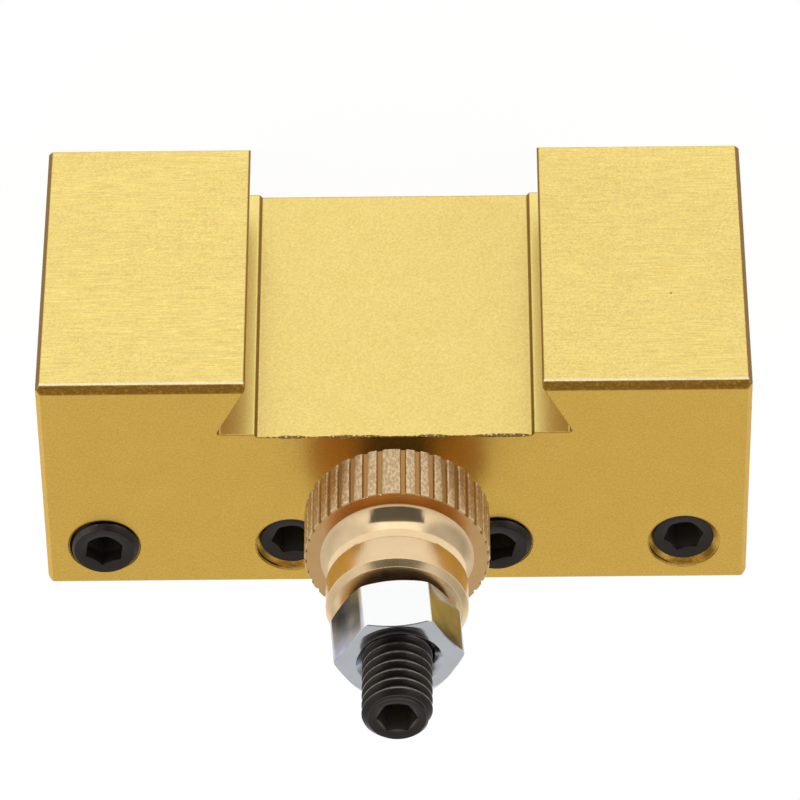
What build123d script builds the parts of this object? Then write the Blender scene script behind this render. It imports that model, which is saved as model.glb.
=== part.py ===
from build123d import *
import os
from math import cos, radians, tan

# Quick change tool holder for a small lathe, in millimetres, as it stands in use.
# X runs along the tool slot, +Y faces the tool post and +Z points up along the height stud.
# The origin is the centre of the block's bottom face.

# Holder block
block_width = 60.0
block_thickness = 23.0
block_height = 30.0
slot_corner_radius = 0.6
pad_corner_chamfer = 0.35
end_edge_chamfer = 0.45
slot_edge_chamfer = 0.1
bottom_edge_chamfer = 0.2
pad_edge_chamfer = 0.62

# Female dovetail in the face towards the tool post
dovetail_mouth = 24.54
dovetail_depth = 5.45
dovetail_angle = 63.0
lip_radius = 0.25
undercut_radius = 0.25
relief_width = 23.1
relief_depth = 0.32
relief_step_run = 0.25

# Tool slot in the opposite face
top_wall = 10.0
slot_opening = 13.0
slot_depth = 9.5
slot_root_radius = 0.4

# M6 screws: plain cylinders at the crest of the thread, with a small clearance in their holes
thread_radius = 2.93
thread_clearance = 0.07
hole_radius = thread_radius + thread_clearance
hole_rim_chamfer = 0.07
stud_end_chamfer = 0.55
socket_across_flats = 3.0
socket_depth = 3.5
socket_mouth_radius = 1.85
drill_point_angle = 31.0

# Clamp screws, from left to right, drilled a little to the left of the block's middle.
# A recess above zero lies below the block's top face, and one below zero stands proud of it.
clamp_screw_radius = 2.98
clamp_hole_radius = clamp_screw_radius + thread_clearance
clamp_end_chamfer = 0.28
clamp_screw_length = 12.0
clamp_screw_setback = 4.34
outer_screw_end_distance = 5.2
inner_screw_offset = 8.8
screw_row_shift = -0.2
clamp_screw_recess = (-0.6, 0.55, -0.6, 0.55)
clamp_socket_turn = (22.0, 5.0, 17.0, 11.0)
point_chamfer = 1.1
cup_radius = 1.5
cup_depth = 0.45

# Height stud, at the middle of the block's thickness
stud_length = 35.0
stud_engagement = 7.9
stud_shift = 0.15
stud_hole_spare = 0.3

# Knurled thumb nut on the stud
thumb_nut_lift = 3.5
flange_radius = 7.8
flange_thickness = 5.2
flange_edge_chamfer = 0.15
face_ring_radius = 6.45
neck_radius = 4.85
cove_height = 2.6
neck_height = 0.45
barrel_radius = 5.95
barrel_length = 3.25
barrel_front_chamfer = 0.5
barrel_back_chamfer = 0.2
bore_chamfer = 0.4

# Straight knurl: even grooves round to a closing zone, where the last cuts crowd together
knurl_pitch_angle = 9.08
knurl_even_grooves = 36
knurl_first_groove = 67.4
knurl_closing_grooves = (76.4, 85.6, 100.3)
groove_depth = 0.3
groove_root_width = 0.3
groove_top_width = 0.5

# Lock nut, its front flat turned a little from the tool post
lock_nut_gap = 0.5
lock_nut_turn = 0.5
nut_across_flats = 9.6
nut_thickness = 4.9
nut_corner_radius = 0.4
nut_chamfer_angle = 30.0
nut_face_share = 0.95
nut_bore_chamfer = 0.6

# Places that follow from the sizes above
pad_face = block_thickness / 2
slot_face = -block_thickness / 2
slot_ceiling = block_height - top_wall
slot_floor = slot_ceiling - slot_opening
slot_root = slot_face + slot_depth
dovetail_floor = pad_face - dovetail_depth
undercut_half = dovetail_mouth / 2 + dovetail_depth / tan(radians(dovetail_angle))
screw_line = slot_face + clamp_screw_setback
outer_screw_offset = block_width / 2 - outer_screw_end_distance
screw_offsets = (-outer_screw_offset, -inner_screw_offset, inner_screw_offset, outer_screw_offset)
screw_places = [screw_row_shift + offset for offset in screw_offsets]
stud_axis = Axis((stud_shift, 0, 0), (0, 0, 1))
stud_bottom = block_height - stud_engagement
thumb_nut_bottom = block_height + thumb_nut_lift
thumb_nut_height = flange_thickness + cove_height + neck_height + barrel_length
lock_nut_bottom = thumb_nut_bottom + thumb_nut_height + lock_nut_gap
past_face = 1.0

os.makedirs("parts", exist_ok=True)


def write_part(part, name):
    part.label = name
    export_step(part, f"parts/{name}.step")


def cut_socket(top, turn):
    # Hexagon socket with a drilled bottom and a slightly opened mouth, cut down from a screw's top face
    flat_radius = socket_across_flats / 2
    with BuildSketch(Plane(origin=top)) as socket:
        RegularPolygon(flat_radius / cos(radians(30)), 6, rotation=turn)
    extrude(socket.sketch, amount=-socket_depth, mode=Mode.SUBTRACT)
    cone_height = flat_radius * tan(radians(drill_point_angle))
    mouth_depth = (socket_mouth_radius - flat_radius) * tan(radians(drill_point_angle))
    with BuildSketch(Plane(origin=top, x_dir=(1, 0, 0), z_dir=(0, -1, 0))) as cones:
        with BuildLine():
            Polyline(
                (0, 0),
                (socket_mouth_radius, 0),
                (flat_radius, -mouth_depth),
                (0, -mouth_depth),
                close=True,
            )
        make_face()
        with BuildLine():
            Polyline(
                (0, -socket_depth),
                (flat_radius, -socket_depth),
                (0, -socket_depth - cone_height),
                close=True,
            )
        make_face()
    revolve(cones.sketch, axis=Axis(top, (0, 0, 1)), mode=Mode.SUBTRACT)


# Anodised block with the dovetail, the tool slot, four clamp screw holes and the stud hole
with BuildPart() as holder_body:
    with BuildSketch(Plane.XY) as outline:
        Rectangle(block_width, block_thickness)
        fillet(outline.vertices().group_by(Axis.Y)[0], slot_corner_radius)
        chamfer(outline.vertices().group_by(Axis.Y)[-1], pad_corner_chamfer)
    extrude(amount=block_height)
    top_edges = holder_body.faces().sort_by(Axis.Z)[-1].edges()
    chamfer(top_edges - top_edges.group_by(Axis.Y)[-1], slot_edge_chamfer)
    chamfer(holder_body.faces().sort_by(Axis.Z)[0].edges(), bottom_edge_chamfer)

    # Bevels along both ends of the top face
    with BuildSketch(Plane.XZ) as end_bevels:
        with BuildLine():
            Polyline(
                (block_width / 2 - end_edge_chamfer, block_height),
                (block_width / 2 + past_face, block_height + past_face),
                (block_width / 2 + past_face, block_height - end_edge_chamfer - past_face),
                close=True,
            )
        make_face()
        mirror(about=Plane.YZ)
    extrude(amount=block_thickness / 2 + past_face, both=True, mode=Mode.SUBTRACT)

    # Bevel along the top edge of both pads
    with BuildSketch(Plane.YZ) as pad_bevel:
        with BuildLine():
            Polyline(
                (pad_face - pad_edge_chamfer, block_height),
                (pad_face + past_face, block_height + past_face),
                (pad_face + past_face, block_height - pad_edge_chamfer - past_face),
                close=True,
            )
        make_face()
    extrude(amount=block_width / 2 + past_face, both=True, mode=Mode.SUBTRACT)

    # Dovetail groove, right through from the bottom face to the top face
    with BuildSketch(Plane.XY) as dovetail:
        with BuildLine():
            Polyline(
                (-undercut_half, dovetail_floor),
                (undercut_half, dovetail_floor),
                (dovetail_mouth / 2, pad_face),
                (-dovetail_mouth / 2, pad_face),
                close=True,
            )
        make_face()
        fillet(dovetail.vertices().group_by(Axis.Y)[0], undercut_radius)
        with BuildLine():
            Polyline(
                (-relief_width / 2 - relief_step_run, dovetail_floor),
                (-relief_width / 2, dovetail_floor - relief_depth),
                (relief_width / 2, dovetail_floor - relief_depth),
                (relief_width / 2 + relief_step_run, dovetail_floor),
                close=True,
            )
        make_face()
    extrude(amount=block_height, mode=Mode.SUBTRACT)
    lips = holder_body.edges().filter_by(Axis.Z).group_by(Axis.Y)[-1]
    lips = lips.sort_by(lambda edge: abs(edge.center().X))[:2]
    fillet(lips, lip_radius)

    # Tool slot along X, open to the slot face and to both ends
    with BuildSketch(Plane.YZ) as tool_slot:
        with Locations((slot_root, slot_floor)):
            Rectangle(slot_depth + past_face, slot_opening, align=(Align.MAX, Align.MIN))
        fillet(tool_slot.vertices().group_by(Axis.X)[-1], slot_root_radius)
    extrude(amount=block_width / 2 + past_face, both=True, mode=Mode.SUBTRACT)

    # Clamp screw holes, from the top face into the slot
    with BuildSketch(Plane.XY.offset(block_height)):
        with Locations(*[(x, screw_line) for x in screw_places]):
            Circle(clamp_hole_radius)
    extrude(amount=-top_wall, mode=Mode.SUBTRACT)

    # Blind stud hole with a drilled end
    stud_hole_depth = stud_engagement + stud_hole_spare
    with BuildSketch(Plane(origin=(stud_shift, 0, block_height), x_dir=(1, 0, 0), z_dir=(0, -1, 0))):
        with BuildLine():
            Polyline(
                (0, 0),
                (hole_radius, 0),
                (hole_radius, -stud_hole_depth),
                (0, -stud_hole_depth - hole_radius * tan(radians(drill_point_angle))),
                close=True,
            )
        make_face()
    revolve(axis=stud_axis, mode=Mode.SUBTRACT)
    chamfer(holder_body.faces().sort_by(Axis.Z)[-1].edges().filter_by(GeomType.CIRCLE), hole_rim_chamfer)
write_part(holder_body.part, "holder_body")

# Clamp screws with a socket on top and a cup point below
for place in range(len(screw_places)):
    screw_top = block_height - clamp_screw_recess[place]
    screw_axis = (screw_places[place], screw_line, 0)
    point_radius = clamp_screw_radius - point_chamfer
    with BuildPart() as clamp_screw:
        with BuildSketch(Plane(origin=screw_axis, x_dir=(1, 0, 0), z_dir=(0, -1, 0))):
            with BuildLine():
                Polyline(
                    (0, screw_top),
                    (clamp_screw_radius - clamp_end_chamfer, screw_top),
                    (clamp_screw_radius, screw_top - clamp_end_chamfer),
                    (clamp_screw_radius, screw_top - clamp_screw_length + point_chamfer),
                    (point_radius, screw_top - clamp_screw_length),
                    (cup_radius, screw_top - clamp_screw_length),
                    (0, screw_top - clamp_screw_length + cup_depth),
                    close=True,
                )
            make_face()
        revolve(axis=Axis(screw_axis, (0, 0, 1)))
        cut_socket((screw_places[place], screw_line, screw_top), clamp_socket_turn[place])
    write_part(clamp_screw.part, f"clamp_screw_{place + 1}")

# Height stud, a long socket screw set into the block
with BuildPart() as height_stud:
    stud_top = stud_bottom + stud_length
    with BuildSketch(Plane(origin=(stud_shift, 0, 0), x_dir=(1, 0, 0), z_dir=(0, -1, 0))):
        with BuildLine():
            Polyline(
                (0, stud_bottom),
                (thread_radius - stud_end_chamfer, stud_bottom),
                (thread_radius, stud_bottom + stud_end_chamfer),
                (thread_radius, stud_top - stud_end_chamfer),
                (thread_radius - stud_end_chamfer, stud_top),
                (0, stud_top),
                close=True,
            )
        make_face()
    revolve(axis=stud_axis)
    cut_socket((stud_shift, 0, stud_top), 0)
write_part(height_stud.part, "height_stud")

# Brass thumb nut: knurled flange, cove, neck and barrel
with BuildPart() as thumb_nut:
    cove_top = flange_thickness + cove_height
    barrel_back = cove_top + neck_height
    thumb_plane = Plane(origin=(stud_shift, 0, thumb_nut_bottom), x_dir=(1, 0, 0), z_dir=(0, -1, 0))
    with BuildSketch(thumb_plane):
        with BuildLine():
            Polyline(
                (face_ring_radius, flange_thickness),
                (flange_radius - flange_edge_chamfer, flange_thickness),
                (flange_radius, flange_thickness - flange_edge_chamfer),
                (flange_radius, flange_edge_chamfer),
                (flange_radius - flange_edge_chamfer, 0),
                (hole_radius + bore_chamfer, 0),
                (hole_radius, bore_chamfer),
                (hole_radius, thumb_nut_height - bore_chamfer),
                (hole_radius + bore_chamfer, thumb_nut_height),
                (barrel_radius - barrel_front_chamfer, thumb_nut_height),
                (barrel_radius, thumb_nut_height - barrel_front_chamfer),
                (barrel_radius, barrel_back + barrel_back_chamfer),
                (barrel_radius - barrel_back_chamfer, barrel_back),
                (neck_radius, barrel_back),
                (neck_radius, cove_top),
            )
            TangentArc((neck_radius, cove_top), (face_ring_radius, flange_thickness), tangent=(0, -1))
        make_face()
    revolve(axis=stud_axis)

    root_radius = flange_radius - groove_depth
    cut_radius = flange_radius + groove_depth
    flare = (groove_top_width - groove_root_width) / 2 / groove_depth
    cut_half_width = groove_root_width / 2 + flare * (cut_radius - root_radius)
    even_turns = [knurl_first_groove - knurl_pitch_angle * count for count in range(knurl_even_grooves)]
    groove_turns = even_turns + list(knurl_closing_grooves)
    with BuildSketch(Plane(origin=(stud_shift, 0, thumb_nut_bottom))):
        with Locations(*[Location((0, 0, 0), (0, 0, turn)) for turn in groove_turns]):
            Polygon(
                (root_radius, -groove_root_width / 2),
                (cut_radius, -cut_half_width),
                (cut_radius, cut_half_width),
                (root_radius, groove_root_width / 2),
                align=None,
            )
    extrude(amount=flange_thickness, mode=Mode.SUBTRACT)
write_part(thumb_nut.part, "thumb_nut")

# Hexagon lock nut
with BuildPart() as lock_nut:
    corner_radius = nut_across_flats / 2 / cos(radians(30))
    face_radius = nut_across_flats / 2 * nut_face_share
    nut_chamfer = (corner_radius - face_radius) * tan(radians(nut_chamfer_angle))
    with BuildSketch(Plane(origin=(stud_shift, 0, lock_nut_bottom))) as hexagon:
        RegularPolygon(corner_radius, 6, rotation=lock_nut_turn)
        fillet(hexagon.vertices(), nut_corner_radius)
    extrude(amount=nut_thickness)
    nut_plane = Plane(origin=(stud_shift, 0, lock_nut_bottom), x_dir=(1, 0, 0), z_dir=(0, -1, 0))
    with BuildSketch(nut_plane):
        with BuildLine():
            Polyline(
                (hole_radius + nut_bore_chamfer, 0),
                (face_radius, 0),
                (corner_radius, nut_chamfer),
                (corner_radius, nut_thickness - nut_chamfer),
                (face_radius, nut_thickness),
                (hole_radius + nut_bore_chamfer, nut_thickness),
                (hole_radius, nut_thickness - nut_bore_chamfer),
                (hole_radius, nut_bore_chamfer),
                close=True,
            )
        make_face()
    revolve(axis=stud_axis, mode=Mode.INTERSECT)
write_part(lock_nut.part, "lock_nut")
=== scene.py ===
import math

import bmesh
import bpy
from mathutils import Matrix, Vector, noise


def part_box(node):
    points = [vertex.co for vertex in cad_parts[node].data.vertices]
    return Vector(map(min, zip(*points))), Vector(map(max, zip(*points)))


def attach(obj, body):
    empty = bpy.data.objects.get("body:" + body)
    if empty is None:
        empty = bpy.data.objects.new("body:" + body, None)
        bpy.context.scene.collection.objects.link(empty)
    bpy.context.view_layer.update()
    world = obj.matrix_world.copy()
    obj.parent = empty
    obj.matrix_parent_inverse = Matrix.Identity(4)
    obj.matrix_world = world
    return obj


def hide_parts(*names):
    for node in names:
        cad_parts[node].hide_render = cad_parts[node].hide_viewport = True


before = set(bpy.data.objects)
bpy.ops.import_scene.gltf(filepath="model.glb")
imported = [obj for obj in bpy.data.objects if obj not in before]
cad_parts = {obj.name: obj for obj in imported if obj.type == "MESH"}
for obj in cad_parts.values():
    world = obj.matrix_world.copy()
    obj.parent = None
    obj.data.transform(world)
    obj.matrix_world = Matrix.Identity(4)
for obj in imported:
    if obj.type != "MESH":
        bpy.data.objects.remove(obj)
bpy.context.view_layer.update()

# Lengths in this script are millimetres, and the scene is in metres
mm = 0.001

# Block, as in the part's own sizes
block_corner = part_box("holder_body")[1] / mm
block_top = block_corner.z
pad_face = block_corner.y
slot_ceiling = 20.0
dovetail_floor = 6.05
middle_floor = 5.73
middle_floor_half = 11.5

# How round the block's edges look, as a radius
edge_round = 0.24

# Marks on the pads: points of the scratch, along the block and up it, and the speck's centre
pad_scratch = ((-26.4, 14.8), (-22.6, 13.95), (-21.4, 13.0), (-18.5, 12.0), (-15.0, 11.5))
pad_speck = (23.51, 11.5, 18.84)
# Painted highlight line beside the pads' top chamfer: where it starts and is full, below the block's top
edge_line_start = 0.92
edge_line_full = 0.76
# The brushed strokes are this far apart, and so are the places where a pit may be
stroke_gap = 0.12
pit_gap = 5.0

# Burr on the dovetail floor's top edge: its rows, and the place and reach of its thick dashes
burr_rows = 230
burr_dashes = ((-8.6, 1.1), (-3.4, 2.2), (3.0, 1.2), (9.2, 2.4))

# M6 thread: pitch, crests of the stud and the clamp screws, and the bore and holes they run in
pitch = 1.0
stud_crest = 2.93
clamp_crest = 2.98
bore_radius = 3.0
clamp_hole_radius = 3.05
thread_columns = 96
# One turn of a 60 degree thread: share of the pitch along the axis, and depth below the crest
thread_steps = (
    (-0.085, 0.05), (-0.04, 0.006), (0.04, 0.006), (0.085, 0.05),
    (0.36, 0.515), (0.43, 0.54), (0.57, 0.54), (0.64, 0.515),
)
# A hole's thread: how far it keeps from the hole's two ends and from the screw, and how far the
# back of its sleeve lies inside the block
hole_foot = 0.01
hole_rim = 0.07
hole_thread_gap = 0.055
sleeve_cover = 0.05

# Socket set screws
stud_chamfer = 0.55
clamp_chamfer = 0.42
socket_across_flats = 3.0
socket_depth = 3.5
clamp_socket_mouth = 1.85
stud_socket_mouth = 2.0
drill_slope = math.tan(math.radians(31))
cup_radius = 1.5
cup_depth = 0.45
point_chamfer = 1.1
socket_turns = {"clamp_screw_1": 22, "clamp_screw_2": 5, "clamp_screw_3": 17, "clamp_screw_4": 11}

# Thumb nut, as radii and as heights above its back face, and the stud's place along the block
stud_place = 0.15
flange_radius = 7.8
flange_thickness = 5.2
flange_edge = 0.15
back_face_radius = 6.8
face_ring = 6.45
neck_radius = 4.85
cove_radius = 2.913
cove_top = 7.8
cove_steps = 13
barrel_back = 8.25
barrel_radius = 5.95
barrel_front = 11.5
barrel_edge = 0.2
barrel_chamfer = 0.5
bore_chamfer = 0.4
# Its knurl: sawn grooves, at the turns that the photograph shows, and ribs with low corners
groove_depth = 0.24
groove_root = 0.36
groove_top = 0.52
groove_floor = flange_radius - groove_depth
groove_turns = [67.4 - 9.08 * count for count in range(36)] + [76.4, 85.6, 100.3]
rib_corner = 0.04
rib_corner_turn = 0.45

# Lock nut
nut_across_flats = 9.6
nut_corner_radius = 0.8
nut_front_share = 0.985
nut_back_share = 0.96
nut_chamfer_slope = math.tan(math.radians(28))
nut_turn = 0.5
nut_countersink = 0.6
nut_edge = 0.05
# Where its outline has points between two corners, in degrees from the first corner
nut_side_turns = [6, 11, 16, 21, 26, 30, 34, 39, 44, 49, 54]
# How it hangs askew on its loose thread in the photograph: the lean of its axis
nut_lean = Vector((0.075, -0.11, 1)).normalized()

# Points of a piece this close become one, and edges this short are closed up
weld_gap = 0.0004
shortest_edge = 0.0002

# Camera, fitted to the block's edges in the photograph
camera_lens = 273.78
camera_sensor = 36.0
camera_tilt = math.radians(44.184)
camera_turn = math.radians(0.649)
camera_roll = math.radians(-0.978)
camera_distance = 521.917
camera_aim = Vector((0.412, 0.870, 20.608))
towards_camera = Vector((
    math.sin(camera_turn) * math.cos(camera_tilt),
    math.sin(camera_tilt),
    math.cos(camera_turn) * math.cos(camera_tilt),
))

# Floor: half its width, how far it lies below the block, and the strength of its white
floor_half = 1500.0
floor_drop = 0.02
floor_white = 1.06


def srgb(code):
    """Linear colour of an sRGB hex value."""
    parts = [int(code[i:i + 2], 16) / 255 for i in (1, 3, 5)]
    return [p / 12.92 if p <= 0.04045 else ((p + 0.055) / 1.055) ** 2.4 for p in parts] + [1.0]


def add(tree, kind, inputs=(), **settings):
    """One node with its settings, values and links; a node as a value means its first output."""
    made = tree.nodes.new("ShaderNode" + kind)
    for name, value in settings.items():
        setattr(made, name, value)
    for name, value in dict(inputs).items():
        if isinstance(value, bpy.types.Node):
            value = value.outputs[0]
        if isinstance(value, bpy.types.NodeSocket):
            tree.links.new(value, made.inputs[name])
        else:
            made.inputs[name].default_value = value
    return made


def new_material(name):
    """An empty material, and its nodes."""
    made = bpy.data.materials.new(name)
    made.use_nodes = True
    made.node_tree.nodes.clear()
    return made, made.node_tree


# In each finish, place is in millimetres, so a noise's scale is one over the size that it draws


def gold_anodised_aluminium():
    """Milled and blasted aluminium, dyed gold: a soft metallic face with fine grain.
    The faces towards the tool post are lighter, as painted light, and the two pads are brushed along the
    block."""
    made, tree = new_material("gold_anodised_aluminium")
    surface = add(tree, "TexCoord")
    place = add(tree, "VectorMath", {0: surface.outputs["Object"], "Scale": 1 / mm}, operation="SCALE")
    x, y, z = add(tree, "SeparateXYZ", {0: place}).outputs
    off_middle = add(tree, "Math", {0: x}, operation="ABSOLUTE")
    rounded_edge = add(tree, "Bevel", {"Radius": edge_round * mm}, samples=8)
    facing_x, facing_y, facing_z = add(tree, "SeparateXYZ", {0: rounded_edge}).outputs
    sideways = add(tree, "Math", {0: facing_x}, operation="ABSOLUTE")

    # Noises by the size that they draw: blasted grain, wide drifts of the dye, patches where the
    # brush pressed harder, breaks in the scratch, and cutter marks on the chamfers, which also place the
    # painted glints
    noises = {}
    for name, size, detail in (
        ("grain", 0.17, 3), ("drift", 3, 3), ("patches", 7, 1), ("breaks", 0.9, 2), ("cuts", 0.3, 4),
    ):
        noises[name] = add(tree, "TexNoise", {"Vector": place, "Scale": 1 / size, "Detail": detail})
    # Brushed strokes 2 mm long, 2 degrees out of line with the block, and dashes 0.8 mm long,
    # where the brush dug in
    for name, length, skew, detail in (("strokes", 2, 2, 3), ("dashes", 0.8, 0, 1)):
        drawn_out = add(tree, "Mapping", {
            "Vector": place,
            "Rotation": (0, math.radians(skew), 0),
            "Scale": (1 / length, 1.0, 1 / stroke_gap),
        })
        noises[name] = add(tree, "TexNoise", {"Vector": drawn_out, "Scale": 1.0, "Detail": detail})

    # Places where a pit may be, half of which have one, and the distance from the speck
    pit_places = add(tree, "TexVoronoi", {"Vector": place, "Scale": 1 / pit_gap})
    pit_chance = add(tree, "RGBToBW", {0: pit_places.outputs["Color"]})
    from_speck = add(tree, "VectorMath", {0: place, 1: pad_speck}, operation="DISTANCE")

    # Distance from the scratch, whose height is a bent line over the place along the block
    scratch_start, scratch_end = pad_scratch[0][0], pad_scratch[-1][0]
    along_scratch = add(tree, "MapRange", {"Value": x, 1: scratch_start, 2: scratch_end})
    bent = add(tree, "FloatCurve", {"Value": along_scratch})
    line = bent.mapping.curves[0].points
    for across, up in pad_scratch[1:-1]:
        line.new((across - scratch_start) / (scratch_end - scratch_start), up / block_top)
    line[0].location = (0, pad_scratch[0][1] / block_top)
    line[-1].location = (1, pad_scratch[-1][1] / block_top)
    for point in line:
        point.handle_type = "VECTOR"
    bent.mapping.update()
    above_scratch = add(tree, "Math", {0: bent, 1: -block_top, 2: z}, operation="MULTIPLY_ADD")
    off_scratch = add(tree, "Math", {0: above_scratch}, operation="ABSOLUTE")

    # Zones: the zone that each lies in, and what it fades in by, from where to where
    zones = {"everywhere": 1.0}
    for name, within, *fades in (
        ("post_side", "everywhere", (facing_y, 0.8, 0.97)),
        ("pads", "post_side", (y, pad_face - 0.4, pad_face - 0.1)),
        # Corners, undercuts and chamfers: the zones that take painted shade
        ("corners", "everywhere", (sideways, 0.2, 0.5), (facing_y, 0.1, 0.35)),
        ("undercuts", "everywhere", (sideways, 0.3, 0.6), (facing_y, -0.2, -0.4)),
        ("chamfers", "everywhere", (facing_z, 0.5, 0.65), (facing_y, 0.45, 0.6)),
        # Painted glints on the chamfers
        ("painted_glints", "chamfers", (noises["cuts"], 0.52, 0.68)),
        # A painted highlight along the pads' top edge, beside their chamfer
        ("painted_edge_highlight", "everywhere",
         (z, block_top - edge_line_start, block_top - edge_line_full),
         (y, pad_face - 0.06, pad_face - 0.02)),
        # The dovetail's floor on both sides of its deeper middle, painted lighter as painted light
        ("painted_light_strips", "post_side",
         (off_middle, middle_floor_half, middle_floor_half + 0.15),
         (y, dovetail_floor + 0.6, dovetail_floor + 0.3)),
        ("dug_in", "pads", (noises["dashes"], 0.6, 0.7), (noises["patches"], 0.45, 0.6)),
        ("scratch", "pads",
         (off_scratch, 0.13, 0.05),
         (x, scratch_start - 0.2, scratch_start + 0.5),
         (x, scratch_end + 0.2, scratch_end - 1.0),
         (noises["breaks"], 0.4, 0.58)),
        ("speck", "everywhere", (from_speck.outputs["Value"], 0.16, 0.08)),
        ("pits", "everywhere",
         (pit_places, 0.175 / pit_gap, 0.075 / pit_gap),
         (pit_chance, 0.5, 0.52)),
    ):
        zone = zones[within]
        for value, start, full in fades:
            fade = add(tree, "MapRange", {"Value": value, 1: start, 2: full},
                       interpolation_type="SMOOTHSTEP")
            zone = add(tree, "Math", {0: zone, 1: fade}, operation="MULTIPLY")
        zones[name] = zone

    # The dye drifts between two colours, and the faces towards the tool post take a lighter copy of it as
    # painted light.
    # In some zones another colour covers a share of it: painted shade on the corners, undercuts and
    # chamfers, and a painted highlight along the pads' top edge
    drift = noises["drift"]
    deep = add(tree, "MixRGB", {"Fac": drift, "Color1": srgb("#E5B956"), "Color2": srgb("#EEC45F")})
    painted_light_dye = add(tree, "MixRGB", {"Fac": drift, "Color1": srgb("#F4D87E"), "Color2": srgb("#FAE08A")})
    dye = add(tree, "MixRGB", {"Fac": zones["post_side"], "Color1": deep, "Color2": painted_light_dye})
    for name, share, other in (
        ("corners", 1.0, "#8C682A"), ("undercuts", 1.0, "#A06F1E"), ("chamfers", 1.0, "#CC963E"),
        ("painted_edge_highlight", 0.6, "#FFF8DC"),
    ):
        covered = add(tree, "Math", {0: zones[name], 1: share}, operation="MULTIPLY")
        dye = add(tree, "MixRGB", {"Fac": covered, "Color1": dye, "Color2": srgb(other)})

    # Grain, and brushing on the pads, make the dye lighter and darker, and so do the marks, the
    # painted glints on the chamfers and the painted light on the floor's strips
    heavy = add(tree, "MapRange", {"Value": noises["patches"], 1: 0.35, 2: 0.65, 3: 0.32, 4: 0.6})
    brushing = add(tree, "Math", {0: zones["pads"], 1: heavy}, operation="MULTIPLY")
    grain, strokes = noises["grain"].outputs["Color"], noises["strokes"].outputs["Color"]
    mark = add(tree, "MixRGB", {"Fac": brushing, "Color1": grain, "Color2": strokes})
    level = add(tree, "RGBToBW", {0: mark})
    spread = add(tree, "MapRange", {"Value": zones["pads"], 3: 0.13, 4: 0.26})
    darkest = add(tree, "Math", {0: 1.0, 1: spread}, operation="SUBTRACT")
    lightest = add(tree, "Math", {0: 1.0, 1: spread}, operation="ADD")
    shade = add(tree, "MapRange", {"Value": level, 1: 0.3, 2: 0.7, 3: darkest, 4: lightest})
    for name, change in (
        ("pits", -0.25), ("speck", -0.6), ("dug_in", 0.14), ("scratch", 0.22), ("painted_glints", 0.45),
        ("painted_light_strips", 0.14),
    ):
        shade = add(tree, "Math", {0: zones[name], 1: change, 2: shade}, operation="MULTIPLY_ADD")
    colour = add(tree, "VectorMath", {0: dye, "Scale": shade}, operation="SCALE")

    # The cutter marks on the chamfers are five times as deep as the grain
    rough = add(tree, "MapRange", {"Value": zones["post_side"], 3: 0.38, 4: 0.35})
    cut = add(tree, "Math", {0: noises["cuts"], 1: zones["chamfers"]}, operation="MULTIPLY")
    height = add(tree, "Math", {0: cut, 1: 5.0, 2: level}, operation="MULTIPLY_ADD")
    relief = add(tree, "Bump", {
        "Strength": 0.5, "Distance": 0.02 * mm, "Height": height, "Normal": rounded_edge,
    })
    finish = add(tree, "BsdfPrincipled", {
        "Base Color": colour, "Metallic": 1.0, "Roughness": rough, "Normal": relief,
    })
    add(tree, "OutputMaterial", {"Surface": finish})
    return made


def torn_edge_with_painted_shade():
    """Aluminium torn by the cutter and dyed over: a ragged brown line, partly painted shade of the burr,
    with bright flecks.
    """
    made, tree = new_material("torn_edge_with_painted_shade")
    surface = add(tree, "TexCoord")
    place = add(tree, "VectorMath", {0: surface.outputs["Object"], "Scale": 1 / mm}, operation="SCALE")
    flecks = add(tree, "TexNoise", {"Vector": place, "Scale": 1 / 0.25, "Detail": 3.0})
    bright = add(tree, "MapRange", {"Value": flecks, 1: 0.55, 2: 0.66})
    # The brown is partly the torn metal and partly painted shade of the burr
    colour = add(tree, "MixRGB", {"Fac": bright, "Color1": srgb("#86662A"), "Color2": srgb("#FFF0C0")})
    relief = add(tree, "Bump", {"Strength": 0.5, "Distance": 0.02 * mm, "Height": flecks})
    finish = add(tree, "BsdfPrincipled", {
        "Base Color": colour, "Metallic": 1.0, "Roughness": 0.42, "Normal": relief,
    })
    add(tree, "OutputMaterial", {"Surface": finish})
    return made


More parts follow.
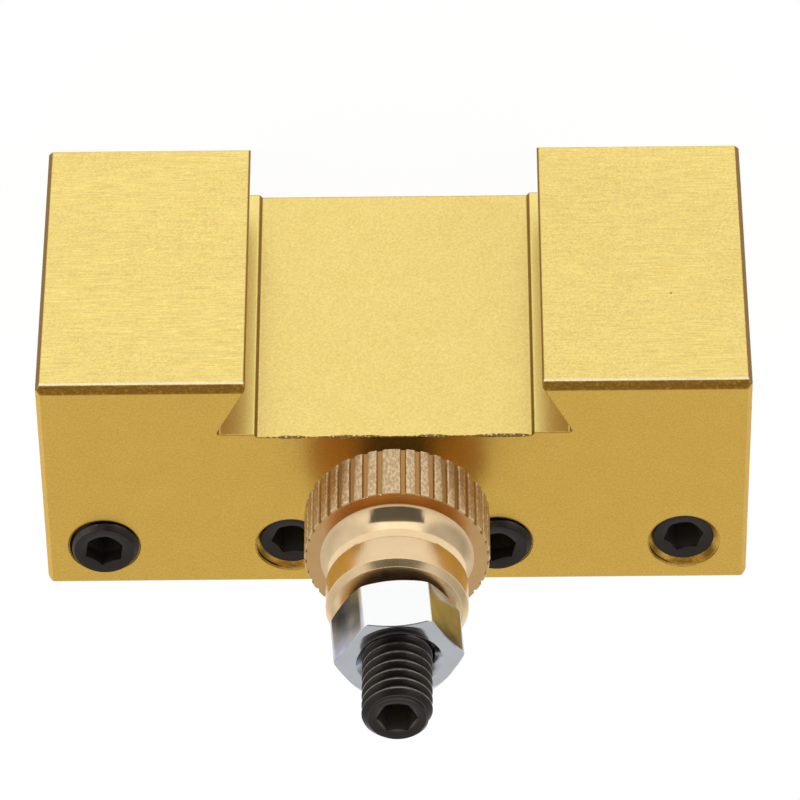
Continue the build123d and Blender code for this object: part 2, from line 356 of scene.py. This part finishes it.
def turned_brass():
    """Bare turned brass: pale, warm and shiny with fine tool rings, and dull where it is knurled.
    The flange's front face and the grooves between the ribs have painted shade, the ribs are mottled, and
    their burrs have painted highlights."""
    made, tree = new_material("turned_brass")
    surface = add(tree, "TexCoord")
    place = add(tree, "VectorMath", {0: surface.outputs["Object"], "Scale": 1 / mm}, operation="SCALE")
    z = add(tree, "SeparateXYZ", {0: place}).outputs["Z"]
    facing_z = add(tree, "SeparateXYZ", {0: surface.outputs["Normal"]}).outputs["Z"]
    # Distance from the stud's axis
    flat = add(tree, "VectorMath", {0: place, 1: (1, 1, 0), 2: (-stud_place, 0, 0)},
               operation="MULTIPLY_ADD")
    reach = add(tree, "VectorMath", {0: flat}, operation="LENGTH").outputs["Value"]

    drift = add(tree, "TexNoise", {"Vector": place, "Scale": 1 / 1.2, "Detail": 3.0})
    # Tool rings, about 0.1 mm apart, as noise along the axis and outwards from it
    on_way = add(tree, "Math", {0: reach, 1: z}, operation="ADD")
    rings = add(tree, "TexNoise", {"W": on_way, "Scale": 1 / 0.1, "Detail": 2.0},
                noise_dimensions="1D")
    # Torn metal on the ribs, in patches about 0.17 mm wide and 0.4 mm long
    torn_at = add(tree, "Mapping", {"Vector": place, "Scale": (1 / 0.17, 1 / 0.17, 1 / 0.4)})
    torn = add(tree, "TexNoise", {"Vector": torn_at, "Scale": 1.0, "Detail": 3.0})
    # Burrs along the ribs' edges and at their front, about 0.3 mm across
    burrs = add(tree, "TexNoise", {"Vector": place, "Scale": 1 / 0.3, "Detail": 2.0})

    # Zones: the zone that each lies in, and what it fades in by, from where to where
    nut_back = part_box("thumb_nut")[0].z / mm
    front_rim = nut_back + flange_thickness
    barrel_start = nut_back + cove_top
    rib_side = flange_radius - rib_corner
    zones = {"everywhere": 1.0}
    for name, within, *fades in (
        ("end_face", "everywhere", (facing_z, 0.9, 0.97), (reach, face_ring - 0.03, face_ring + 0.03)),
        ("cove", "everywhere", (z, front_rim + 0.05, front_rim + 0.15)),
        ("barrel", "everywhere", (z, barrel_start, barrel_start + 0.1)),
        ("knurled", "everywhere", (reach, groove_floor - 0.25, groove_floor - 0.1), (facing_z, 0.9, 0.6)),
        ("ribs", "everywhere", (reach, groove_floor + 0.05, flange_radius - 0.08)),
        ("torn", "everywhere", (torn, 0.38, 0.66)),
        ("burrs", "knurled", (burrs, 0.54, 0.66)),
        ("rib_fronts", "burrs", (z, front_rim - 0.25, front_rim - 0.1)),
        ("rib_edges", "burrs",
         (reach, rib_side - 0.06, rib_side),
         (reach, flange_radius - 0.01, flange_radius - 0.02)),
    ):
        zone = zones[within]
        for value, start, full in fades:
            fade = add(tree, "MapRange", {"Value": value, 1: start, 2: full},
                       interpolation_type="SMOOTHSTEP")
            zone = add(tree, "Math", {0: zone, 1: fade}, operation="MULTIPLY")
        zones[name] = zone
    # Painted highlights on the burrs along the ribs' edges and fronts
    burr_highlights = add(tree, "Math", {0: zones["rib_fronts"], 1: zones["rib_edges"]}, operation="MAXIMUM")

    turned = add(tree, "MixRGB", {"Fac": drift, "Color1": srgb("#E6C592"), "Color2": srgb("#F4DAB2")})
    # The flange's front face takes a darker copy of the brass as painted shade
    painted_shade_face = add(tree, "MixRGB", {"Fac": drift, "Color1": srgb("#CEA46C"), "Color2": srgb("#DAB47E")})
    ribs = add(tree, "MixRGB", {
        "Fac": zones["torn"], "Color1": srgb("#C6A679"), "Color2": srgb("#E4CEA8"),
    })
    # The grooves' floors between the ribs are darker as painted shade
    knurl = add(tree, "MixRGB", {"Fac": zones["ribs"], "Color1": srgb("#B98C50"), "Color2": ribs})
    colour = turned
    for share, other in (
        (zones["end_face"], painted_shade_face), (zones["knurled"], knurl), (burr_highlights, srgb("#F6E7C6")),
    ):
        colour = add(tree, "MixRGB", {"Fac": share, "Color1": colour, "Color2": other})

    barrel = add(tree, "MapRange", {"Value": drift, 3: 0.22, 4: 0.36})
    rough = 0.25
    for name, other in (("cove", 0.12), ("barrel", barrel), ("knurled", 0.48)):
        rough = add(tree, "MapRange", {"Value": zones[name], 3: rough, 4: other})
    height = add(tree, "MixRGB", {
        "Fac": zones["knurled"], "Color1": rings.outputs["Color"], "Color2": torn.outputs["Color"],
    })
    relief = add(tree, "Bump", {"Strength": 0.25, "Distance": 0.012 * mm, "Height": height})
    finish = add(tree, "BsdfPrincipled", {
        "Base Color": colour, "Metallic": 1.0, "Roughness": rough, "Normal": relief,
    })
    add(tree, "OutputMaterial", {"Surface": finish})
    return made


def black_oxide_steel():
    """Alloy steel with an oiled black oxide: a nearly black metal with soft warm grey glints.
    The stud's crests have painted highlights, its end and the end faces have painted shade, and painted
    light lifts the inside of each socket."""
    made, tree = new_material("black_oxide_steel")
    surface = add(tree, "TexCoord")
    place = add(tree, "VectorMath", {0: surface.outputs["Object"], "Scale": 1 / mm}, operation="SCALE")
    z = add(tree, "SeparateXYZ", {0: place}).outputs["Z"]
    facing_z = add(tree, "SeparateXYZ", {0: surface.outputs["Normal"]}).outputs["Z"]
    # Distance from the stud's axis
    flat = add(tree, "VectorMath", {0: place, 1: (1, 1, 0), 2: (-stud_place, 0, 0)},
               operation="MULTIPLY_ADD")
    reach = add(tree, "VectorMath", {0: flat}, operation="LENGTH").outputs["Value"]
    # Clouds in the oxide, about 0.5 mm across, which also say how strong the painted highlights on the
    # crests are
    cloud = add(tree, "TexNoise", {"Vector": place, "Scale": 1 / 0.5, "Detail": 4.0})
    crest_glint_share = add(tree, "MapRange", {"Value": cloud, 1: 0.35, 2: 0.6, 3: 0.35, 4: 1.0})

    # Zones: the zone that each lies in, and what it fades in by, from where to where
    stud_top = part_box("height_stud")[1].z / mm
    zones = {"everywhere": 1.0}
    for name, within, *fades in (
        ("stud", "everywhere", (reach, clamp_crest + 0.5, clamp_crest + 0.2)),
        ("stud_end", "stud", (z, stud_top - 0.75, stud_top - 0.6)),
        ("stud_crests", "stud", (reach, stud_crest - 0.055, stud_crest - 0.02)),
        ("end_faces", "everywhere", (facing_z, 0.72, 0.82)),
        ("stud_socket", "everywhere",
         (reach, stud_socket_mouth, stud_socket_mouth - 0.15),
         (z, stud_top - 0.15, stud_top - 0.4)),
        ("clamp_sockets", "everywhere", (z, block_top - 0.7, block_top - 1.0)),
    ):
        zone = zones[within]
        for value, start, full in fades:
            fade = add(tree, "MapRange", {"Value": value, 1: start, 2: full})
            zone = add(tree, "Math", {0: zone, 1: fade}, operation="MULTIPLY")
        zones[name] = zone
    # Painted highlights on the stud's crests
    crests = add(tree, "Math", {0: zones["stud_crests"], 1: crest_glint_share}, operation="MULTIPLY")
    # Painted light inside the sockets
    sockets = add(tree, "Math", {0: zones["stud_socket"], 1: zones["clamp_sockets"]},
                  operation="MAXIMUM")

    colour = add(tree, "MixRGB", {"Fac": cloud, "Color1": srgb("#413A35"), "Color2": srgb("#5C544F")})
    # The stud's end and the end faces take painted shade
    for share, other in (
        (crests, "#948B83"), (zones["stud_end"], "#453E39"), (zones["end_faces"], "#332E2A"),
        (sockets, "#7C756B"),
    ):
        colour = add(tree, "MixRGB", {"Fac": share, "Color1": colour, "Color2": srgb(other)})
    rough = add(tree, "MapRange", {"Value": cloud, 3: 0.24, 4: 0.4})
    relief = add(tree, "Bump", {"Strength": 0.3, "Distance": 0.01 * mm, "Height": cloud})
    finish = add(tree, "BsdfPrincipled", {
        "Base Color": colour, "Metallic": 0.75, "Roughness": rough, "Normal": relief,
    })
    add(tree, "OutputMaterial", {"Surface": finish})
    return made


def zinc_plated_steel():
    """Cold formed steel under bright zinc: a cool mirror on its flats, with painted shade on the side
    flats, and duller on its pressed faces.
    """
    made, tree = new_material("zinc_plated_steel")
    surface = add(tree, "TexCoord")
    place = add(tree, "VectorMath", {0: surface.outputs["Object"], "Scale": 1 / mm}, operation="SCALE")
    facing = add(tree, "SeparateXYZ", {0: surface.outputs["Normal"]})
    # Clouds in the zinc, about 1.5 mm across, and waves in its mirror, about 2.5 mm across
    cloud = add(tree, "TexNoise", {"Vector": place, "Scale": 1 / 1.5, "Detail": 4.0})
    wave = add(tree, "TexNoise", {"Vector": place, "Scale": 1 / 2.5, "Detail": 1.0})
    # The side flats take a dull bluish painted shade, in blotches as wide as the waves
    sideways = add(tree, "Math", {0: facing.outputs["X"]}, operation="ABSOLUTE")
    on_side = add(tree, "MapRange", {"Value": sideways, 1: 0.5, 2: 0.7})
    blotches = add(tree, "MapRange", {"Value": wave, 1: 0.35, 2: 0.65, 3: 0.55, 4: 1.0})
    painted_side_shade = add(tree, "Math", {0: on_side, 1: blotches}, operation="MULTIPLY")
    end_on = add(tree, "MapRange", {"Value": facing.outputs["Z"], 1: 0.6, 2: 0.8})

    flats = add(tree, "MixRGB", {"Fac": cloud, "Color1": srgb("#F9FAFB"), "Color2": srgb("#FFFFFF")})
    flats = add(tree, "MixRGB", {"Fac": painted_side_shade, "Color1": flats, "Color2": srgb("#AAB3CC")})
    pressed = add(tree, "MixRGB", {"Fac": cloud, "Color1": srgb("#C3C6CB"), "Color2": srgb("#D5D8DC")})
    colour = add(tree, "MixRGB", {"Fac": end_on, "Color1": flats, "Color2": pressed})
    rough = add(tree, "MapRange", {"Value": cloud, 3: 0.1, 4: 0.22})
    relief = add(tree, "Bump", {"Strength": 0.4, "Distance": 0.05 * mm, "Height": wave})
    finish = add(tree, "BsdfPrincipled", {
        "Base Color": colour, "Metallic": 1.0, "Roughness": rough, "Normal": relief,
    })
    add(tree, "OutputMaterial", {"Surface": finish})
    return made


def ring(centre, radii, heights, turns):
    """Points round an upright axis; radii and heights are one value, or a list, one for each turn."""
    radii = radii if isinstance(radii, list) else [radii] * len(turns)
    heights = heights if isinstance(heights, list) else [heights] * len(turns)
    return [
        (centre[0] + radius * math.cos(turn), centre[1] + radius * math.sin(turn), height)
        for radius, height, turn in zip(radii, heights, turns)
    ]


def skin(name, sheets, material, sharp_angle=32.0):
    """A piece whose surface is sheets of rows, each row joined to the next, and the seams welded.
    A sheet is its rows, and whether each row closes on itself."""
    points, faces = [], []
    for rows, closed in sheets:
        first = len(points)
        count = len(rows[0])
        for row in rows:
            points += [Vector(point) * mm for point in row]
        for j in range(len(rows) - 1):
            for i in range(count if closed else count - 1):
                a = first + j * count + i
                b = first + j * count + (i + 1) % count
                faces.append((a, b, b + count, a + count))
    mesh = bpy.data.meshes.new(name)
    mesh.from_pydata(points, [], faces)
    shape = bmesh.new()
    shape.from_mesh(mesh)
    bmesh.ops.remove_doubles(shape, verts=shape.verts, dist=weld_gap * mm)
    bmesh.ops.dissolve_degenerate(shape, edges=shape.edges, dist=shortest_edge * mm)
    bmesh.ops.recalc_face_normals(shape, faces=shape.faces)
    shape.to_mesh(mesh)
    shape.free()
    mesh.materials.append(material)
    mesh.shade_smooth()
    mesh.set_sharp_from_angle(angle=math.radians(sharp_angle))
    piece = bpy.data.objects.new(name, mesh)
    bpy.context.scene.collection.objects.link(piece)
    return piece


def thread_rows(centre, low, high, first_turn, radius_at):
    """Rows that follow the helix, cut off flat at both ends; radius_at(depth, z) is the radius."""
    rows = []
    for count in range(math.floor(low / pitch) - 3, math.ceil(high / pitch) + 2):
        for share, depth in thread_steps:
            row = []
            for column in range(thread_columns + 1):
                turn = first_turn + math.tau * column / thread_columns
                z = min(max((count + share + turn / math.tau) * pitch, low), high)
                radius = radius_at(depth, z)
                row.append((centre[0] + radius * math.cos(turn), centre[1] + radius * math.sin(turn), z))
            rows.append(row)
    return rows


def set_screw(name, socket_turn, crest, end_chamfer, mouth, low_end, material):
    """A threaded socket screw in the place of the CAD node of that name."""
    low_corner, high_corner = [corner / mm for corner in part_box(name)]
    centre = (low_corner + high_corner) / 2
    low, high = low_corner.z, high_corner.z
    first_turn = math.radians(socket_turn)
    high_radius = crest - end_chamfer
    low_radius = crest - (point_chamfer if low_end == "cup" else end_chamfer)

    def radius_at(depth, z):
        if z == high:
            return high_radius
        return min(crest - depth, high_radius + high - z, low_radius + z - low)

    turns = [first_turn + math.tau * column / thread_columns for column in range(thread_columns)]
    sector = math.radians(60)
    half_flats = socket_across_flats / 2
    flats = [half_flats / math.cos((turn - first_turn) % sector - sector / 2) for turn in turns]
    mouth_heights = [high - (mouth - flat) * drill_slope for flat in flats]
    socket_floor = high - socket_depth
    top = [
        ring(centre, high_radius, high, turns),
        ring(centre, mouth, high, turns),
        ring(centre, flats, mouth_heights, turns),
        ring(centre, flats, socket_floor, turns),
        ring(centre, half_flats, socket_floor, turns),
        ring(centre, 0.0, socket_floor - half_flats * drill_slope, turns),
    ]
    bottom = [ring(centre, low_radius, low, turns)]
    if low_end == "cup":
        bottom += [ring(centre, cup_radius, low, turns), ring(centre, 0.0, low + cup_depth, turns)]
    else:
        bottom.append(ring(centre, 0.0, low, turns))
    rows = thread_rows(centre, low, high, first_turn, radius_at)
    return skin(name + "_threaded", [(rows, False), (top, True), (bottom, True)], material)


def hole_thread(name, screw, material):
    """The thread cut in a clamp screw's hole, as a thin sleeve whose back lies in the block."""
    low_corner, high_corner = [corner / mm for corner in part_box(screw)]
    centre = (low_corner + high_corner) / 2
    low, high = slot_ceiling + hole_foot, block_top - hole_rim
    root = clamp_crest + hole_thread_gap
    back = clamp_hole_radius + sleeve_cover

    def radius_at(depth, z):
        return max(root - depth, root - (high - z), root - (z - low))

    turns = [math.tau * column / thread_columns for column in range(thread_columns)]
    outline = ((root, high), (back, high), (back, low), (root, low))
    shell = [ring(centre, radius, height, turns) for radius, height in outline]
    rows = thread_rows(centre, low, high, 0.0, radius_at)
    return skin(name, [(rows, False), (shell, True)], material)


def rounded(outline, radius=0.06, steps=3):
    """An outline of (radius, height) points with each inner corner turned into a small round."""
    made = [outline[0]]
    for before, corner, after in zip(outline, outline[1:], outline[2:]):
        corner = Vector(corner)
        back = Vector(before) - corner
        ahead = Vector(after) - corner
        reach = min(radius, back.length / 3, ahead.length / 3)
        start, end = corner + back.normalized() * reach, corner + ahead.normalized() * reach
        for step in range(steps + 1):
            t = step / steps
            made.append(tuple(start * (1 - t) ** 2 + corner * 2 * t * (1 - t) + end * t ** 2))
    return made + [outline[-1]]


def knurled_nut(material):
    """Thumb nut: a knurled flange, a cove, a neck and a barrel, bored through."""
    low_corner, high_corner = [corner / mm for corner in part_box("thumb_nut")]
    base = low_corner.z
    centre = ((low_corner.x + high_corner.x) / 2, 0.0)

    # Turn and depth of each point of the knurl: a groove's floor, then the rib beside it
    top_half = math.degrees(math.asin(groove_top / 2 / flange_radius))
    root_half = math.degrees(math.asin(groove_root / 2 / groove_floor))
    marks = sorted(turn % 360 for turn in groove_turns)
    turns, depths = [], []
    for this, following in zip(marks, marks[1:] + [marks[0] + 360]):
        rib_start, rib_end = this + top_half, following - top_half
        rib = rib_end - rib_start
        corner = min(rib_corner_turn, rib / 4)
        turns += [this - root_half, this + root_half, rib_start, rib_start + corner,
                  rib_start + rib / 3, rib_start + rib * 2 / 3, rib_end - corner, rib_end]
        depths += [groove_depth, groove_depth, rib_corner, 0.0, 0.0, 0.0, 0.0, rib_corner]
    turns = [math.radians(turn) for turn in turns]

    # Flange: its back face, the knurl between two chamfers, and its front face
    face_edge = groove_floor - 0.05
    rings = [ring(centre, face_edge, base, turns)]
    for cut_back, height in (
        (flange_edge, 0.0),
        (flange_edge / 3, flange_edge / 3),
        (0.0, flange_edge),
        (0.0, flange_thickness - flange_edge),
        (flange_edge / 3, flange_thickness - flange_edge / 3),
        (flange_edge, flange_thickness),
    ):
        radii = [min(flange_radius - depth, flange_radius - cut_back) for depth in depths]
        rings.append(ring(centre, radii, base + height, turns))
    rings.append(ring(centre, face_edge, base + flange_thickness, turns))
    rings.append(ring(centre, face_ring + 0.03, base + flange_thickness, turns))

    # Cove, neck, barrel, bore and back face, as radius and height
    cove = []
    cove_end = math.acos((neck_radius + cove_radius - face_ring) / cove_radius)
    for step in range(cove_steps + 1):
        angle = math.pi + cove_end * (1 - step / cove_steps)
        cove.append((neck_radius + cove_radius + cove_radius * math.cos(angle),
                     cove_top + cove_radius * math.sin(angle)))
    front = rounded([
        (neck_radius, cove_top), (neck_radius, barrel_back),
        (barrel_radius - barrel_edge, barrel_back), (barrel_radius, barrel_back + barrel_edge),
        (barrel_radius, barrel_front - barrel_chamfer), (barrel_radius - barrel_chamfer, barrel_front),
        (bore_radius + bore_chamfer, barrel_front), (bore_radius, barrel_front - bore_chamfer),
        (bore_radius, bore_chamfer), (bore_radius + bore_chamfer, 0.0), (back_face_radius, 0.0),
    ])
    rings += [ring(centre, radius, base + height, turns) for radius, height in cove + front]
    rings.append(rings[0])
    return skin("thumb_nut_turned", [(rings, True)], material)


def hexagon_nut(material):
    """Lock nut: a hexagon with a double chamfer, countersunk bore and slightly rounded corners."""
    low_corner, high_corner = [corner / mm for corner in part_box("lock_nut")]
    centre = (low_corner + high_corner) / 2
    half = (high_corner.z - low_corner.z) / 2

    # Turn and reach of each point of the outline, a corner and a side at a time
    flat = nut_across_flats / 2
    corner_centre = (flat - nut_corner_radius) / math.cos(math.radians(30))
    arc_half = 30 - math.degrees(math.atan2(corner_centre * math.sin(math.radians(30)), flat))
    corner_turns = [-arc_half, -arc_half / 2, 0, arc_half / 2, arc_half]
    turns, reaches = [], []
    for sector in range(6):
        for turn in corner_turns + nut_side_turns:
            turns.append(math.radians(nut_turn + 60 * sector + turn))
        for turn in corner_turns:
            across = corner_centre * math.sin(math.radians(turn))
            along = corner_centre * math.cos(math.radians(turn))
            reaches.append(along + math.sqrt(nut_corner_radius ** 2 - across ** 2))
        for turn in nut_side_turns:
            reaches.append(flat / math.cos(math.radians(turn - 30)))

    # Countersink, flat face and chamfered edge of each end, from the bore outwards
    axis = (0.0, 0.0)
    ends = []
    for end, share in ((-1, nut_back_share), (1, nut_front_share)):
        face = flat * share
        drops = [(reach - face) * nut_chamfer_slope for reach in reaches]
        edge_reaches = [reach - nut_edge for reach in reaches]
        edge_heights = [end * (half - drop + 0.02) for drop in drops]
        side_heights = [end * (half - drop - nut_edge) for drop in drops]
        ends.append([
            ring(axis, bore_radius, end * (half - nut_countersink), turns),
            ring(axis, bore_radius + nut_countersink, end * half, turns),
            ring(axis, face - nut_edge, end * half, turns),
            ring(axis, face + 0.03, end * (half - 0.02), turns),
            ring(axis, edge_reaches, edge_heights, turns),
            ring(axis, reaches, side_heights, turns),
        ])
    back, front = ends
    rings = back + front[::-1] + [back[0]]
    piece = skin("lock_nut_plated", [(rings, True)], material, sharp_angle=25.0)
    lean = Vector((0, 0, 1)).rotation_difference(nut_lean).to_matrix().to_4x4()
    piece.data.transform(Matrix.Translation(centre * mm) @ lean)
    return piece


def floor_edge_burr(material):
    """Ragged burr that the cutter left along the top edge of the dovetail's floor."""
    y, z = middle_floor, block_top
    rows = []
    for step in range(burr_rows + 1):
        x = -middle_floor_half + 2 * middle_floor_half * step / burr_rows
        # About 0.05 mm high, with slow and quick changes, and 0.16 mm higher in the dashes
        slow = noise.noise(Vector((x * 0.9, 3.1, 0.0)))
        quick = noise.noise(Vector((x * 5.0, 7.7, 0.0)))
        dashed = max(math.exp(-((x - place) / reach) ** 4) for place, reach in burr_dashes)
        size = max(0.015, 0.05 + 0.05 * slow + 0.06 * quick + 0.16 * dashed)
        lip = size * (0.5 + 0.4 * noise.noise(Vector((x * 3.0, 1.3, 0.0))))
        rows.append([
            (x, y - 0.05, z - 0.05),
            (x, y + 0.012, z - size),
            (x, y + lip * 0.5, z - size * 0.2),
            (x, y + lip * 0.3, z + size * 0.35),
            (x, y - size * 0.8, z + 0.01),
        ])
    sheets = [(rows, True)]
    for end in (rows[0], rows[-1]):
        sheets.append(([end, [end[0]] * len(end)], True))
    return skin("floor_edge_burr", sheets, material, sharp_angle=60.0)


def studio_floor():
    """Plain white floor that keeps a soft shadow."""
    half, z = floor_half * mm, -floor_drop * mm
    mesh = bpy.data.meshes.new("studio_floor")
    corners = [(-half, -half, z), (half, -half, z), (half, half, z), (-half, half, z)]
    mesh.from_pydata(corners, [], [(0, 1, 2, 3)])
    made, tree = new_material("white_floor")
    path = add(tree, "LightPath")
    seen = path.outputs["Is Camera Ray"]
    for ray in ("Is Glossy Ray", "Is Transmission Ray"):
        seen = add(tree, "Math", {0: seen, 1: path.outputs[ray]}, operation="MAXIMUM")
    share = add(tree, "Math", {0: seen, 1: 0.9}, operation="MULTIPLY")
    matte = add(tree, "BsdfDiffuse", {"Color": (0.9, 0.9, 0.9, 1)})
    glow = add(tree, "Emission", {"Color": (1, 1, 1, 1), "Strength": floor_white})
    both = add(tree, "MixShader", {0: share, 1: matte, 2: glow})
    add(tree, "OutputMaterial", {"Surface": both})
    mesh.materials.append(made)
    floor = bpy.data.objects.new("studio_floor", mesh)
    bpy.context.scene.collection.objects.link(floor)


def photo_camera():
    """The photograph looks at the top face and the dovetail, with the tool post's side upwards."""
    level = Vector((math.cos(camera_turn), 0, -math.sin(camera_turn)))
    upright = towards_camera.cross(level)
    right = level * math.cos(camera_roll) + upright * math.sin(camera_roll)
    up = upright * math.cos(camera_roll) - level * math.sin(camera_roll)
    data = bpy.data.cameras.new("photo_camera")
    data.sensor_width = camera_sensor
    data.lens = camera_lens
    data.clip_start, data.clip_end = 10 * mm, 10000 * mm
    camera = bpy.data.objects.new("photo_camera", data)
    turn = Matrix((right, up, towards_camera)).transposed().to_4x4()
    stand = Matrix.Translation((camera_aim + towards_camera * camera_distance) * mm)
    camera.matrix_world = stand @ turn
    bpy.context.scene.collection.objects.link(camera)
    bpy.context.scene.camera = camera


def studio_world():
    """White tent all round, with a dark opening where the camera looks in.
    The tent is dimmer below the camera and at its sides, and brighter over the tool post's side."""
    world = bpy.data.worlds.new("white_tent")
    world.use_nodes = True
    tree = world.node_tree
    tree.nodes.clear()
    sky = add(tree, "TexCoord").outputs["Generated"]

    # How far a point of the sky lies in each direction, from -1 to 1
    level_side = Vector((1, 0, 0))
    towards = {}
    for name, direction in (
        ("right", level_side),
        ("above", towards_camera.cross(level_side)),
        ("camera", towards_camera),
        ("below", Vector((0, -0.7, 0.714))),
        ("post_side", Vector((0, 1, 0))),
    ):
        part = add(tree, "VectorMath", {0: sky, 1: direction}, operation="DOT_PRODUCT")
        towards[name] = part.outputs["Value"]

    # The opening is 2 x 36 degrees wide where the camera stands, narrower below, and arched above
    off_side = add(tree, "Math", {0: towards["right"]}, operation="ABSOLUTE")
    half_width = add(tree, "Math", {0: towards["above"], 1: 0.47, 2: 0.57},
                     operation="MULTIPLY_ADD")
    past_side = add(tree, "Math", {0: off_side, 1: half_width}, operation="SUBTRACT")
    squared = add(tree, "Math", {0: off_side, 1: off_side}, operation="MULTIPLY")
    arched = add(tree, "Math", {0: squared, 1: 0.65, 2: towards["above"]},
                 operation="MULTIPLY_ADD")

    # Each factor of the tent's strength goes from one value to another, smoothly, from where to
    # where; the opening's own factors come first
    opening = 1.0
    for value, start, full in (
        (past_side, 0.05, -0.05), (towards["camera"], 0.3, 0.6), (towards["above"], -0.62, -0.42),
        (arched, 0.46, 0.34),
    ):
        fade = add(tree, "MapRange", {"Value": value, 1: start, 2: full},
                   interpolation_type="SMOOTHSTEP")
        opening = add(tree, "Math", {0: opening, 1: fade}, operation="MULTIPLY")
    strength = 1.0
    for value, start, end, at_start, at_end in (
        (opening, 0.0, 1.0, 1.0, 0.12),
        (towards["below"], 0.1, 0.8, 1.0, 0.7),
        (towards["post_side"], 0.7, 0.95, 1.0, 1.35),
        (towards["right"], -0.85, -0.6, 0.8, 1.0),
        (towards["right"], 0.6, 0.85, 1.0, 0.55),
    ):
        factor = add(tree, "MapRange", {"Value": value, 1: start, 2: end, 3: at_start, 4: at_end},
                     interpolation_type="SMOOTHSTEP")
        strength = add(tree, "Math", {0: strength, 1: factor}, operation="MULTIPLY")

    path = add(tree, "LightPath")
    tent = add(tree, "Background", {"Color": (1, 1, 1, 1), "Strength": strength})
    plain = add(tree, "Background", {"Color": (1, 1, 1, 1), "Strength": 1.0})
    both = add(tree, "MixShader", {0: path.outputs["Is Camera Ray"], 1: tent, 2: plain})
    add(tree, "OutputWorld", {"Surface": both})
    bpy.context.scene.world = world


gold = gold_anodised_aluminium()
brass = turned_brass()
black = black_oxide_steel()
zinc = zinc_plated_steel()

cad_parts["holder_body"].material_slots[0].material = gold
for screw, turn in socket_turns.items():
    piece = set_screw(screw, turn, clamp_crest, clamp_chamfer, clamp_socket_mouth, "cup", black)
    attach(piece, screw)
    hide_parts(screw)
    sleeve = hole_thread(screw.replace("clamp_screw", "hole_thread"), screw, gold)
    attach(sleeve, "holder")

stud = set_screw("height_stud", 0, stud_crest, stud_chamfer, stud_socket_mouth, "flat", black)
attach(stud, "holder")
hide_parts("height_stud")

thumb = knurled_nut(brass)
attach(thumb, "thumb_nut")
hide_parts("thumb_nut")

nut = hexagon_nut(zinc)
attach(nut, "lock_nut")
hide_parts("lock_nut")

burr = floor_edge_burr(torn_edge_with_painted_shade())
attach(burr, "holder")

studio_floor()
studio_world()
photo_camera()
bpy.context.scene.view_settings.view_transform = "Standard"
